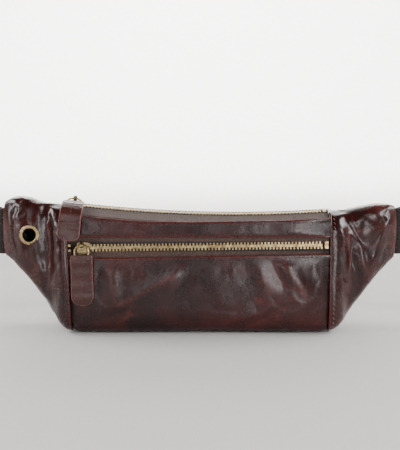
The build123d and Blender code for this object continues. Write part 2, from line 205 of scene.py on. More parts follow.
def refine(obj):
    """Smooths the mesh by subdividing it once."""
    for other in bpy.context.selected_objects:
        other.select_set(False)
    bpy.context.view_layer.objects.active = obj
    divide = obj.modifiers.new("smooth", "SUBSURF")
    divide.levels = 1
    divide.render_levels = 1
    bpy.ops.object.modifier_apply(modifier=divide.name)


def points_of(obj):
    """The piece's points in millimetres."""
    return [tuple(c / MM for c in vert.co) for vert in obj.data.vertices]


def clipped(value):
    return min(1.0, max(0.0, value))


def ramp(value, start, end):
    """0 before start, 1 after end, and smooth between."""
    share = clipped((value - start) / (end - start))
    return share * share * (3 - 2 * share)


def mark(obj, name, values):
    """Stores one number for each point, for the material to read."""
    layer = obj.data.attributes.new(name, "FLOAT", "POINT")
    layer.data.foreach_set("value", [float(v) for v in values])


def mark_wear_and_highlight(obj, folds, creases, worn):
    """Marks the leather's folds, creases with any painted highlight, and wear, each by one number or one for
    each point.
    """
    count = len(obj.data.vertices)
    for name, values in (("fold", folds), ("crease_and_highlight", creases), ("worn", worn)):
        mark(obj, name, values if isinstance(values, list) else [values] * count)


def smooth_line(points, count):
    """Evenly spaced points on a smooth curve through the given ones."""
    pts = np.array(points, float)
    ends = np.vstack([2 * pts[0] - pts[1], pts, 2 * pts[-1] - pts[-2]])
    dense = []
    for k in range(1, len(ends) - 2):
        p0, p1, p2, p3 = ends[k - 1:k + 3]
        for t in np.linspace(0, 1, 24, endpoint=False):
            dense.append(0.5 * (2 * p1 + (p2 - p0) * t + (2 * p0 - 5 * p1 + 4 * p2 - p3) * t ** 2
                                + (3 * p1 - p0 - 3 * p2 + p3) * t ** 3))
    dense.append(pts[-1])
    return spaced(np.array(dense), count)


def distances(line):
    """Each point's distance from the line's start, along the line."""
    steps = np.linalg.norm(np.diff(line, axis=0), axis=1)
    return np.concatenate([[0], np.cumsum(steps)])


def spaced(line, count):
    """The same line with count points, evenly spaced."""
    along = distances(line)
    wanted = np.linspace(0, along[-1], count)
    return np.stack([np.interp(wanted, along, line[:, c]) for c in range(line.shape[1])], axis=1)


def at_share(line, share):
    """The point at a share of an evenly spaced line."""
    place = share * (len(line) - 1)
    low = min(int(place), len(line) - 2)
    return line[low] + (line[low + 1] - line[low]) * (place - low)


def bump_at(value, centre, width):
    """1 at the centre, falling off smoothly over the width on both sides."""
    return math.exp(-((value - centre) / width) ** 2)


def wobble(x, y, z, scale, seed=0.0):
    """Smooth noise between about -1 and 1 that repeats the same way each run."""
    return noise.noise(Vector((x / scale + seed, y / scale - seed, z / scale + 2 * seed)))


def stroke(x, z, start, end, width):
    """1 on a line between two points of the bag's face, falling to 0 beside it and past its ends."""
    px, pz = x - start[0], z - start[1]
    dx, dz = end[0] - start[0], end[1] - start[1]
    length = math.hypot(dx, dz)
    along = (px * dx + pz * dz) / length
    across = (px * dz - pz * dx) / length
    past = max(0.0, -along, along - length)
    return math.exp(-(across / width) ** 2 - (past / (1.6 * width)) ** 2)


def zip_rise(x):
    """How far the top zip's arc stands above its lowest point at x."""
    return ZIP_RADIUS - math.sqrt(ZIP_RADIUS ** 2 - (x - ZIP_LOW_X) ** 2)


def on_main(x, u, v, w):
    """A point of the top zip's local frame, where a slider at x sits on the arc."""
    y = ZIP_Y + v * math.cos(ZIP_LEAN) - w * math.sin(ZIP_LEAN)
    below = v * math.sin(ZIP_LEAN) + w * math.cos(ZIP_LEAN) - ZIP_RADIUS
    turn = math.asin((ZIP_LOW_X - x) / ZIP_RADIUS)
    return (ZIP_LOW_X + u * math.cos(turn) + below * math.sin(turn), y,
            ZIP_LOW_Z + ZIP_RADIUS - u * math.sin(turn) + below * math.cos(turn))


def on_pocket(x, u, v, w):
    """A point of the pocket zip's local frame."""
    along = x + u
    return (along * math.cos(POCKET_TILT) - v * math.sin(POCKET_TILT), POCKET_ZIP_Y - w,
            POCKET_CHAIN_Z + along * math.sin(POCKET_TILT) + v * math.cos(POCKET_TILT))


def bar_place(bar_w):
    """The (v, w) of a pull ring's straight bar."""
    tilt = math.asin((bar_w - BAIL_W) / RING_DROP)
    return (BAIL_V - RING_DROP * math.cos(tilt), bar_w)


def rounded_route(corners, radii, step):
    """Points along straight runs that are joined by arcs, with a radius for each inner corner."""
    pts = [np.array(c, float) for c in corners]
    line = [pts[0]]
    for before, corner, after, radius in zip(pts, pts[1:], pts[2:], radii):
        back = (before - corner) / np.linalg.norm(before - corner)
        ahead = (after - corner) / np.linalg.norm(after - corner)
        half = math.acos(float(np.clip(back @ ahead, -1, 1))) / 2
        reach = radius / math.tan(half)
        middle = corner + (back + ahead) / np.linalg.norm(back + ahead) * radius / math.sin(half)
        start, end = corner + back * reach - middle, corner + ahead * reach - middle
        first = math.atan2(start[1], start[0])
        turn = (math.atan2(end[1], end[0]) - first + math.pi) % (2 * math.pi) - math.pi
        count = max(6, int(abs(turn) * radius / step))
        for k in range(count + 1):
            angle = first + turn * k / count
            line.append(middle + radius * np.array([math.cos(angle), math.sin(angle)]))
    line.append(pts[-1])
    line = np.array(line)
    length = np.linalg.norm(np.diff(line, axis=0), axis=1).sum()
    return spaced(line, int(length / step))


def surface_of(obj):
    """The piece's faces, for finding points on them, in millimetres."""
    points = [v.co / MM for v in obj.data.vertices]
    return BVHTree.FromPolygons(points, [tuple(p.vertices) for p in obj.data.polygons])


RAY_RUN = 120.0            # rays start this far before the points that they pass through


def facing(normal, way):
    """The normal, turned to look back along way."""
    return -normal if normal.dot(way) > 0 else normal


def seen_from(surface, points, way):
    """Where lines through the points, along way, first meet the surface, with its normal there."""
    way = Vector(way)
    found = []
    for point in points:
        place, normal, _, _ = surface.ray_cast(Vector(point) - way * RAY_RUN, way)
        if place is not None:
            found.append((np.array(place), np.array(facing(normal, way))))
    return found


# a stitch dips into the leather at both ends: (share of its length, height, thickness)
STITCH_RINGS = (
    (-0.5, -0.75, 0.45), (-0.36, 0.15, 0.85), (-0.12, 0.4, 1.0),
    (0.12, 0.4, 1.0), (0.36, 0.15, 0.85), (0.5, -0.75, 0.45),
)
STITCH_SIDES = 6
# length, gap and radius
FINE_STITCH = (2.5, 1.1, 0.30)
TAB_STITCH = (2.3, 1.0, 0.34)


def stitch_row(name, spots, material, length, gap, radius, slant=0.0, body="root"):
    """A row of sewn stitches along (point, normal) pairs on a surface, as real thread."""
    line = np.array([p for p, _ in spots])
    along = distances(line)
    pitch = length + gap
    points, faces = [], []

    def point_at(distance):
        return np.array([np.interp(distance, along, line[:, c]) for c in range(3)])

    for i in range(int(along[-1] / pitch)):
        middle = (i + 0.5) * pitch
        here = point_at(middle)
        ahead = point_at(middle + 0.5) - here
        k = min(int(np.searchsorted(along, middle)), len(spots) - 1)
        normal = spots[k][1] / np.linalg.norm(spots[k][1])
        straight = ahead - normal * (ahead @ normal)
        straight /= np.linalg.norm(straight)
        beside = np.cross(normal, straight)
        turn = slant + 0.05 * wobble(i, 0, 0, 1.7, 3.0)
        way = straight * math.cos(turn) + beside * math.sin(turn)
        cross = beside * math.cos(turn) - straight * math.sin(turn)
        faces += tube_faces(len(STITCH_RINGS), STITCH_SIDES, first=len(points))
        for share, height, thick in STITCH_RINGS:
            centre = here + way * share * length + normal * height * radius
            for side in range(STITCH_SIDES):
                angle = side * 2 * math.pi / STITCH_SIDES
                rim = cross * math.cos(angle) + normal * math.sin(angle)
                points.append(centre + radius * thick * rim)
    obj = mesh_object(name, points, faces)
    return finish_piece(obj, material, "leather" if body == "root" else "pull_leather", body=body)


def seam_left(z):
    """The left seam leans: further out at the top."""
    return -106.6 - 3.4 * z / 105.0


def seam_x(side, z):
    """X of a seam at a height, for side -1 (left) or 1 (right)."""
    return seam_left(z) if side < 0 else SEAM_RIGHT


def past_seam(side, x, z):
    """How far outside a seam a point lies."""
    return side * (x - seam_x(side, z))


def meet_left_seam(x, z):
    """Moves a panel's points near its left end on to the leaning seam."""
    if x >= LEAN_END:
        return x
    return x + (seam_left(z) - LEFT_EDGE) * (1 - (x - LEFT_EDGE) / (LEAN_END - LEFT_EDGE))


def panel(name, columns, rows, profile, shape):
    """A panel between the seams: a (Y, Z) profile at each X, then shape(x, y, z) gives its depth."""
    cache = {}

    def place(u, v):
        x = LEFT_EDGE + (SEAM_RIGHT - LEFT_EDGE) * u
        if u not in cache:
            cache[u] = smooth_line(profile(x), rows + 1)
        y, z = at_share(cache[u], v)
        return (meet_left_seam(x, z), shape(x, y, z), z)

    return grid(name, columns, rows, place)


# ---- materials ----
class Recipe:
    """A node material with short calls for the nodes that it uses. Inputs are numbers or sockets."""

    def __init__(self, name):
        self.material = bpy.data.materials.new(name)
        self.material.use_nodes = True
        self.tree = self.material.node_tree
        self.shader = self.tree.nodes["Principled BSDF"]
        self.coords = self.tree.nodes.new("ShaderNodeTexCoord").outputs["Object"]

    def plug(self, socket, value):
        if isinstance(value, bpy.types.NodeSocket):
            self.tree.links.new(value, socket)
        else:
            socket.default_value = value

    def feed(self, node, **inputs):
        for key, value in inputs.items():
            self.plug(node.inputs[key.replace("_", " ")], value)
        return node

    def node(self, kind, **inputs):
        return self.feed(self.tree.nodes.new("ShaderNode" + kind), **inputs)

    def set(self, **inputs):
        self.feed(self.shader, **inputs)

    def stretched(self, stretch):
        """The piece's own space, stretched along its three axes."""
        return self.node("Mapping", Scale=stretch, Vector=self.coords).outputs["Vector"]

    def noise(self, scale, detail=4.0, rough=0.55, stretch=(1, 1, 1)):
        space = self.stretched(stretch)
        return self.node("TexNoise", Scale=scale, Detail=detail, Roughness=rough, Vector=space).outputs["Fac"]

    def cells(self, scale, feature="F1", stretch=(1, 1, 1)):
        node = self.node("TexVoronoi", Scale=scale, Vector=self.stretched(stretch))
        node.feature = feature
        return node.outputs["Distance"]

    def attribute(self, name, output="Fac"):
        node = self.node("Attribute")
        node.attribute_name = name
        return node.outputs[output]

    def wave(self, scale, direction, distortion, space=None):
        space = space or self.stretched((1, 1, 1))
        node = self.node("TexWave", Scale=scale, Distortion=distortion, Vector=space)
        node.bands_direction = direction
        return node.outputs["Fac"]

    def woven(self, scale, direction, distortion):
        """Ribs of a woven piece, along or across its own length."""
        return self.wave(scale, direction, distortion, self.attribute("weave", "Vector"))

    def span(self, value, low, high, to_low=0.0, to_high=1.0):
        node = self.node("MapRange", From_Min=low, From_Max=high, To_Min=to_low, To_Max=to_high, Value=value)
        return node.outputs["Result"]

    def mix(self, amount, first, second):
        """A colour between two, each a socket or a (red, green, blue)."""
        node = self.node("Mix")
        node.data_type = "RGBA"
        first, second = ((*c, 1) if isinstance(c, tuple) else c for c in (first, second))
        return self.feed(node, Factor=amount, A=first, B=second).outputs["Result"]

    def mottled(self, noise, low, high, first, second):
        """Two colours, mixed by a noise between its low and high values."""
        return self.mix(self.span(noise, low, high), first, second)

    def math(self, kind, first, second):
        node = self.node("Math")
        node.operation = kind
        self.plug(node.inputs[0], first)
        self.plug(node.inputs[1], second)
        return node.outputs["Value"]

    def bump(self, *layers):
        """Layers of (height, strength, distance in metres), fine ones last."""
        below = {}
        for height, strength, distance in layers:
            node = self.node("Bump", Strength=strength, Distance=distance, Height=height, **below)
            below = {"Normal": node.outputs["Normal"]}
        self.set(**below)


WORN_RED = (0.20, 0.034, 0.016)
# lighter red along creases, also used for a painted highlight
CREASE_AND_HIGHLIGHT_RED = (0.15, 0.035, 0.026)


def leather(name, dark, mid, warm, scuff_amount, edge):
    """Waxed pull-up leather: mottled brown, redder where it is folded, creased or rubbed, and lighter red
    where a painted highlight is marked.
    """
    r = Recipe(name)
    tone = r.mottled(r.noise(14, 6, 0.6), 0.38, 0.64, dark, mid)
    cloud = r.span(r.noise(30, 6, 0.6, (1, 1, 1.4)), 0.45, 0.8, 0, 0.7)
    tone = r.mix(cloud, tone, warm)
    rubbed = r.math("ADD", r.noise(75, 9, 0.75, (1, 1, 1.6)), r.math("MULTIPLY", r.attribute("worn"), 0.2))
    tone = r.mix(r.span(rubbed, 0.70, 0.92, 0, scuff_amount), tone, WORN_RED)
    pores = r.span(r.cells(1300), 0.0, 0.3, 0.3, 0.0)
    tone = r.mix(pores, tone, dark)
    veins = r.span(r.cells(55, "DISTANCE_TO_EDGE", (1, 1, 0.7)), 0.0, 0.02, 0.3, 0.0)
    tone = r.mix(r.math("MULTIPLY", veins, r.span(r.noise(26, 3), 0.52, 0.62)), tone, warm)
    tone = r.mix(r.math("MULTIPLY", r.attribute("fold"), 0.7), tone, edge)
    # redder along the creases; the same mark paints a highlight on the right wing's top
    tone = r.mix(r.math("MULTIPLY", r.attribute("crease_and_highlight"), 0.35), tone, CREASE_AND_HIGHLIGHT_RED)
    r.set(Base_Color=tone)
    r.set(Roughness=r.span(r.noise(60, 6, 0.7), 0.3, 0.7, 0.22, 0.33))
    wrinkles = r.span(r.cells(130, "DISTANCE_TO_EDGE", (1, 1, 0.6)), 0.0, 0.12)
    shrink = r.math("MULTIPLY", wrinkles, r.span(r.noise(22, 3), 0.45, 0.65, 0.2, 1.0))
    r.bump(
        (r.noise(75, 5, 0.6), 0.132, 0.001),
        (shrink, 0.084, 0.0006),
        (r.noise(420, 4, 0.7), 0.045, 0.0005),
        (r.cells(1100), 0.098, 0.0003),
        (r.noise(2600, 3, 0.6), 0.070, 0.0002),
    )
    r.set(Specular_IOR_Level=0.4)
    return r.material


def brass(name, dark, light, rough):
    """Antique brass, tarnished unevenly."""
    r = Recipe(name)
    r.set(Base_Color=r.mottled(r.noise(260, 5, 0.65), 0.35, 0.68, dark, light))
    r.set(Roughness=r.span(r.noise(500, 4, 0.6), 0.3, 0.7, rough, rough + 0.18))
    r.bump((r.noise(1500, 3, 0.6), 0.12, 0.0002))
    r.set(Metallic=1.0)
    return r.material


def tape_fabric(name, axis, chain_side):
    """Speckled zip tape, with painted shade where it lies beside the teeth."""
    r = Recipe(name)
    weave = r.wave(300, "DIAGONAL", 0.6)
    ribs = r.wave(220, "X", 0.3)
    tone = r.mottled(r.noise(1100, 3), 0.35, 0.65, (0.022, 0.011, 0.009), (0.080, 0.044, 0.035))
    tone = r.mix(r.math("MULTIPLY", weave, 0.35), tone, (0.090, 0.051, 0.041))
    split = r.node("SeparateXYZ", Vector=r.coords)
    # painted shade: the tape turns dark where it lies beside and between the teeth
    near = r.span(split.outputs[axis], chain_side[0] * MM, chain_side[1] * MM)
    r.set(Base_Color=r.mix(near, tone, (0.012, 0.007, 0.006)))
    r.bump((ribs, 0.4, 0.0003), (weave, 0.5, 0.0003))
    r.set(Roughness=0.85, Sheen_Weight=0.05, Sheen_Roughness=0.5)
    return r.material


def webbing_fabric():
    r = Recipe("webbing")
    ribs = r.woven(0.19, "Y", 0.0)
    threads = r.woven(0.34, "X", 1.5)
    dark, light = (0.0075, 0.0050, 0.0046), (0.022, 0.0135, 0.0120)
    r.set(Base_Color=r.mottled(r.noise(700, 4), 0.3, 0.7, dark, light))
    r.bump((ribs, 0.8, 0.0006), (threads, 0.6, 0.0004))
    r.set(Roughness=0.75, Specular_IOR_Level=0.3)
    return r.material


def lining_fabric():
    r = Recipe("lining")
    dark, light = (0.03, 0.024, 0.022), (0.055, 0.045, 0.042)
    r.set(Base_Color=r.mottled(r.noise(500, 3), 0.3, 0.7, dark, light))
    r.bump((r.wave(500, "X", 0.5), 0.4, 0.0002), (r.wave(500, "Z", 0.5), 0.4, 0.0002))
    r.set(Roughness=0.9)
    return r.material


def buckle_plastic():
    r = Recipe("buckle_plastic")
    dark, light = (0.006, 0.006, 0.0065), (0.014, 0.0135, 0.014)
    r.set(Base_Color=r.mottled(r.noise(300, 4), 0.35, 0.7, dark, light))
    r.set(Roughness=r.span(r.noise(240, 4), 0.3, 0.7, 0.38, 0.55))
    r.bump((r.noise(2200, 2), 0.25, 0.0002))
    return r.material


def thread(name, dark, light):
    r = Recipe(name)
    twist = r.wave(900, "DIAGONAL", 1.0)
    r.set(Base_Color=r.mix(twist, dark, light))
    r.bump((twist, 0.5, 0.0002))
    r.set(Roughness=0.65)
    return r.material


# dark, middle and warm tones, amount of scuffs, tone of a folded edge
BODY_LEATHER = leather(
    "body_leather", (0.0105, 0.0019, 0.0019), (0.027, 0.0043, 0.0041), (0.058, 0.0078, 0.0064),
    0.32, (0.11, 0.022, 0.020),
)
WING_LEATHER = leather(
    "wing_leather", (0.0100, 0.0025, 0.0024), (0.025, 0.0052, 0.0047), (0.058, 0.0088, 0.0070),
    0.25, (0.12, 0.025, 0.020),
)
PULL_LEATHER = leather(
    "pull_leather", (0.030, 0.0085, 0.0072), (0.050, 0.0155, 0.013), (0.062, 0.0175, 0.014),
    0.1, (0.26, 0.095, 0.080),
)
BRASS = brass("antique_brass", (0.20, 0.13, 0.058), (0.52, 0.40, 0.215), 0.24)
# a darker copy of the brass for the sliders: painted shade, as they sit in shadow
SHADED_BRASS = brass("shaded_brass", (0.12, 0.08, 0.04), (0.42, 0.32, 0.17), 0.25)
# each tape's chain side, as the height or depth between which painted shade darkens it
TAPE_FABRICS = {
    "pocket_tape_upper": tape_fabric("pocket_tape_high", "Z", (78.4, 76.6)),
    "pocket_tape_lower": tape_fabric("pocket_tape_low", "Z", (68.6, 70.4)),
    "main_tape_front": tape_fabric("main_tape_fore", "Y", (-4.9, -3.9)),
    "main_tape_back": tape_fabric("main_tape_rear", "Y", (2.9, 1.9)),
}
WEBBING = webbing_fabric()
LINING = lining_fabric()
PLASTIC = buckle_plastic()
DARK_THREAD = thread("dark_thread", (0.030, 0.0075, 0.0065), (0.085, 0.020, 0.017))
TAB_THREAD = thread("tab_thread", (0.05, 0.016, 0.013), (0.13, 0.05, 0.04))
BOLD_THREAD = thread("bold_thread", (0.045, 0.022, 0.020), (0.20, 0.13, 0.115))


def finish_piece(obj, material, slot, *nodes, body="root"):
    """Gives a piece its finish, hides the CAD nodes that it stands for and attaches it to the body it rides
    on.
    """
    obj.data.materials.clear()
    obj.data.materials.append(material)
    if nodes:
        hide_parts(*nodes)
    if body:
        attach(obj, body)
    return obj


# ---- body leather ----
def near_seams(x, fade):
    """1 at each end seam, falling off over the fade distance."""
    left = math.exp(-max(0.0, x - LEFT_FACE) / fade)
    right = math.exp(-max(0.0, SEAM_RIGHT - x) / fade)
    return left + right


def end_pull(x):
    """How far the seams draw the front in, near the two ends."""
    return near_seams(x, 9.0)


def end_swell(x):
    """The soft swellings of the front before the seams draw it in, over a slight bow."""
    return 1.5 * bump_at(x, 78, 17) + 1.2 * bump_at(x, -80, 17) - 1.6 * abs(x / 108) ** 3


# soft ridges and dents in the pocket's face: (X, Z) of start and end, width, height
POCKET_CREASES = [
    ((-66, 26), (-24, 48), 7.0, 0.8), ((-24, 48), (-12, 60), 5.0, 0.6), ((60, 60), (68, 44), 4.0, -0.8),
    ((68, 44), (90, 30), 5.5, -0.5), ((70, 60), (86, 34), 7.0, 1.1), ((48, 58), (56, 38), 6.0, 0.5),
    ((20, 10), (52, 20), 4.0, 0.5), ((58, 18), (78, 26), 4.0, -0.4), ((-74, 58), (-70, 34), 8.0, 0.8),
    ((-86, 10), (-60, 20), 6.0, -0.5),
]
# start, end and width of each rubbed streak
POCKET_SCUFFS = [
    ((12, 28), (22, 31), 5), ((50, 29), (74, 31), 5),
    ((45, 9), (66, 14), 5), ((-70, 12), (-58, 16), 4),
]


def pocket_relief(x, z):
    """Height of the pocket's face over its plain bulge."""
    height = sum(h * stroke(x, z, a, b, w) for a, b, w, h in POCKET_CREASES)
    height += 0.5 * wobble(x, 0, z, 34, 3.1) + 0.18 * wobble(x, 0, z, 13, 7.7)
    height += 0.05 * wobble(x, 0, z, 5, 1.7)
    clear_of_pull = 1 - ramp(-x, 82, 88)
    return height * (0.25 + 0.75 * clear_of_pull)


def pocket_edge(x):
    """Height of the pocket's folded top edge."""
    return 66.0 + math.tan(math.radians(1.0)) * x + 0.25 * wobble(x, 0, 0, 18, 4.0)


def pocket_profile(x):
    """The pocket leather's (Y, Z) section at x, from the back fold to the turned-in top edge."""
    top = pocket_edge(x)
    pull = 1.5 * end_pull(x)
    lift = 1.1 * bump_at(x, 0, 48) + 2.2 * near_seams(x, 7.0)
    return [
        (21.0 - pull, 10.8), (20.6 - pull, 4.5 + lift), (17.5 - pull, 1.0 + lift), (11, 0.15 + lift * 0.6),
        (-9, 0.15 + lift * 0.8), (-16.2 + pull, 1.0 + lift), (-21.2 + pull, 5.2 + lift),
        (-23.8 + pull, 12), (-25.2 + pull, 24), (-25.0 + pull, 40), (-23.9 + pull * 0.6, 54),
        (-22.9, top - 4), (-22.75, top - 1.0), (-22.3, top - 0.2), (-21.7, top), (-21.15, top - 0.35),
        (-20.95, top - 1.4), (-20.9, top - 6),
    ]


def pocket_leather():
    def shape(x, y, z):
        if y >= 0:
            return y + 0.4 * wobble(x, y, z, 20, 5.0)
        face = clipped((z - 3) / 8) * clipped((pocket_edge(x) - 3 - z) / 8)
        return y - face * (pocket_relief(x, z) + end_swell(x))

    obj = panel("pocket_leather", 150, 84, pocket_profile, shape)
    freedom = []
    for x, y, z in points_of(obj):
        side_room = ramp(x, -103, -84) * ramp(-x, -SEAM_RIGHT, -SEAM_RIGHT + 14)
        freedom.append(side_room * ramp(z, 5, 16) * ramp(pocket_edge(x) - z, 4, 16) if y < 0 else 0)
    settle(obj, freedom, excess=0.002, cap=0.22, bending=32.0)
    refine(obj)
    folds, creases, worn = [], [], []
    for x, y, z in points_of(obj):
        near = pocket_edge(x) - z
        folds.append(math.exp(-((near - 0.5) / 0.9) ** 2) if y < 0 else 0)
        strength = sum(abs(h) * stroke(x, z, a, b, w * 0.35) for a, b, w, h in POCKET_CREASES)
        creases.append(min(0.6, 0.5 * strength) if y < 0 else 0)
        scuffs = sum(stroke(x, z, a, b, width) for a, b, width in POCKET_SCUFFS)
        worn.append(0.2 + 0.15 * bump_at(z, 18, 22) + 0.95 * min(1.0, scuffs))
    mark_wear_and_highlight(obj, folds, creases, worn)
    return finish_piece(obj, BODY_LEATHER, "leather", "pocket_panel")


def band_top(x):
    """Height of the band's top edge, which sags less to the right than the zip does."""
    along_zip = 93.3 + zip_rise(x)
    natural = 94.2 + 0.0063 * x + 0.00047 * x * x
    return along_zip + min(1.6, max(-1.2, natural - along_zip)) + 0.15 * wobble(x, 2, 0, 20, 3.0)


def band_profile(x):
    """Section of the leather between the zips, from its turned-in lower edge to its top edge."""
    low = BAND_BOTTOM + 0.2 * wobble(x, 1, 0, 16, 8.0)
    top = band_top(x)
    pull = 0.9 * end_pull(x)
    return [
        (-20.9, low + 5), (-20.95, low + 1.4), (-21.2, low + 0.35), (-21.8, low), (-22.35, low + 0.25),
        (-22.8 + pull, low + 1.1), (-23.1 + pull, low + 3.2), (-22.9 + pull, top - 4.5),
        (-22.6 + pull, top - 1.4), (-22.1, top - 0.35), (-21.5, top), (-20.95, top - 0.3),
        (-20.8, top - 1.2), (-20.8, top - 4),
    ]


def band_leather():
    def shape(x, y, z):
        if y >= -21:
            return y
        middle = ramp(z, BAND_BOTTOM + 1, BAND_BOTTOM + 5) * ramp(band_top(x) - z, 1, 4.5)
        ripple = 0.4 * wobble(x, 0, z, 26, 9.3) + 0.15 * wobble(x, 0, z, 8, 2.3)
        return y - middle * (ripple + 0.5 * end_swell(x))

    obj = panel("band_leather", 150, 40, band_profile, shape)
    refine(obj)
    folds = []
    for x, _, z in points_of(obj):
        low = math.exp(-((z - BAND_BOTTOM - 0.3) / 0.9) ** 2)
        high = math.exp(-((band_top(x) - 0.3 - z) / 0.8) ** 2)
        folds.append(max(low, 0.8 * high))
    mark_wear_and_highlight(obj, folds, 0, 0.3)
    return finish_piece(obj, BODY_LEATHER, "leather", "upper_band")


def back_profile(x):
    """Section of the back panel, from the base to its turned-in top edge by the zip."""
    rise = zip_rise(x)
    pull = 1.2 * end_pull(x)
    return [
        (20.9 - pull, 10.3), (21.8 - pull, 20), (22.3 - pull, 34), (21.4 - pull, 52),
        (19.2, 68 + 0.5 * rise), (16.0, 82 + rise), (12.6, 93 + rise), (11.9, 94.8 + rise),
        (11.3, 95.2 + rise), (10.8, 94.8 + rise), (10.9, 93 + rise),
    ]


def back_leather():
    def shape(x, y, z):
        middle = clipped((z - 10) / 8) * clipped((92 + zip_rise(x) - z) / 8)
        return y + middle * (0.8 * wobble(x, 0, z, 38, 6.1) + 0.25 * wobble(x, 0, z, 12, 4.4))

    obj = panel("back_leather", 120, 60, back_profile, shape)
    freedom = []
    for x, _, z in points_of(obj):
        side_room = ramp(x, -106, -92) * ramp(-x, -SEAM_RIGHT, -SEAM_RIGHT + 14)
        freedom.append(side_room * ramp(z, 14, 26) * ramp(88 + zip_rise(x) - z, 0, 14))
    settle(obj, freedom, excess=0.005, cap=0.9, bending=22.0)
    refine(obj)
    folds = [math.exp(-((95.0 + zip_rise(x) - z) / 0.7) ** 2) for x, _, z in points_of(obj)]
    mark_wear_and_highlight(obj, folds, 0, 0.5)
    obj.data.flip_normals()
    return finish_piece(obj, BODY_LEATHER, "leather", "back_panel")


# ---- wings ----
# A section is (depth, height) shares: the body's outline at the seam, a lens at the tip.
BODY_FRONT = [(0, 0), (0.57, 0.003), (0.86, 0.05), (0.97, 0.13), (1, 0.25), (0.98, 0.45), (0.93, 0.65),
              (0.90, 0.80), (0.87, 0.87), (0.58, 0.955), (0.25, 0.985), (0, 1)]
BODY_BACK = [(0, 0), (0.60, 0.003), (0.88, 0.05), (0.97, 0.13), (1, 0.28), (0.97, 0.45), (0.88, 0.63),
             (0.76, 0.77), (0.6, 0.88), (0.45, 0.945), (0.22, 0.985), (0, 1)]
TIP_SHAPE = [(0, 0), (0.5, 0.02), (0.76, 0.07), (0.9, 0.15), (0.97, 0.28), (1, 0.45), (1, 0.6),
             (0.96, 0.74), (0.87, 0.86), (0.7, 0.94), (0.4, 0.985), (0, 1)]
# distance past the seam, bottom, top, front depth, back depth, share of the tip's shape
LEFT_STATIONS = [
    (0.0, 2.2, 105.6, 25.6, 22.0, 0.0), (2.0, 1.6, 106.0, 26.2, 22.4, 0.02),
    (6.0, 3.6, 106.4, 25.6, 21.6, 0.1), (10.5, 8.5, 106.8, 22.6, 19.5, 0.25),
    (15.0, 15.5, 107.6, 17.2, 16.8, 0.45), (19.0, 22.5, 108.6, 15.4, 14.8, 0.6),
    (24.0, 30.5, 110.2, 16.2, 13.3, 0.75), (30.0, 39.5, 112.4, 16.0, 11.8, 0.9),
    (36.0, 47.0, 113.2, 15.2, 10.4, 1.0), (42.0, 53.5, 113.0, 13.0, 8.6, 1.0),
    (47.0, 58.5, 111.6, 9.6, 7.2, 1.0), (51.0, 61.8, 109.2, 6.8, 6.0, 1.0),
    (53.0, 63.2, 107.6, 5.4, 5.4, 1.0),
]
RIGHT_STATIONS = [
    (0.0, 2.0, 101.6, 25.8, 22.0, 0.0), (2.0, 1.6, 101.4, 26.3, 22.4, 0.02),
    (6.0, 3.2, 101.0, 25.8, 21.8, 0.1), (11.0, 7.5, 101.6, 23.4, 19.8, 0.25),
    (16.5, 14.5, 102.8, 18.0, 17.2, 0.45), (22.0, 22.5, 104.2, 16.6, 15.0, 0.6),
    (28.0, 31.0, 105.6, 17.4, 13.4, 0.75), (34.0, 39.5, 106.8, 17.0, 11.8, 0.9),
    (40.0, 47.0, 107.3, 15.6, 10.4, 1.0), (46.0, 53.0, 106.9, 12.6, 8.6, 1.0),
    (50.5, 57.0, 106.2, 9.4, 7.2, 1.0), (54.0, 59.8, 105.0, 6.6, 6.0, 1.0),
    (55.5, 61.0, 104.0, 5.4, 5.4, 1.0),
]
# in (distance past the seam, height): start, end, width, height
LEFT_CREASES = [
    ((16, 104), (15, 60), 3.5, -1.6), ((15, 60), (12, 30), 4.5, -1.2), ((36, 66), (26, 56), 4.0, 1.4),
    ((22, 62), (34, 48), 3.5, -1.0), ((22, 108), (24, 94), 2.5, 0.8), ((28, 108), (29, 96), 2.2, -0.7),
    ((48, 100), (46, 74), 2.6, 1.2), ((43, 104), (42, 72), 3.0, -0.8), ((20, 50), (10, 22), 4.0, 0.7),
]
RIGHT_CREASES = [
    ((12, 98), (17, 62), 3.2, -1.8), ((17, 62), (14, 20), 5.0, -1.2), ((22, 84), (46, 90), 5.0, 1.3),
    ((24, 72), (50, 74), 5.0, -1.1), ((26, 62), (34, 46), 5.0, 1.4), ((18, 96), (24, 86), 2.5, 0.8),
    ((20, 88), (26, 78), 2.0, -0.7), ((40, 100), (50, 96), 3.0, 0.8), ((30, 98), (38, 94), 2.4, -0.6),
]


TURNED_IN = 5.0            # leather folded inwards at a wing's tip


def station_at(stations, distance):
    line = np.array(stations)
    return [float(np.interp(distance, line[:, 0], line[:, c])) for c in range(1, 6)]


def from_eyelet(x, z):
    return math.hypot(x - EYELET_X, z - EYELET_Z)


def wing_section(stations, distance, reach):
    """The closed (Y, Z) outline of a wing at a distance past its seam."""
    low, high, front, back, tip = station_at(stations, min(distance, reach))
    shrink = min(1.2, max(0.0, distance - reach) * 0.8)
    sides = []
    for shape, depth, sign in ((BODY_FRONT, front, -1), (BODY_BACK, back, 1)):
        points = []
        for (body_y, body_z), (tip_y, tip_z) in zip(shape, TIP_SHAPE):
            y = body_y + (tip_y - body_y) * tip
            z = body_z + (tip_z - body_z) * tip
            height = high - low - 2 * shrink
            points.append((MIDDLE_Y + sign * (depth - shrink) * y, low + shrink + height * z))
        sides.append(smooth_line(points, 81))
    return np.vstack([sides[0], sides[1][::-1][1:]])


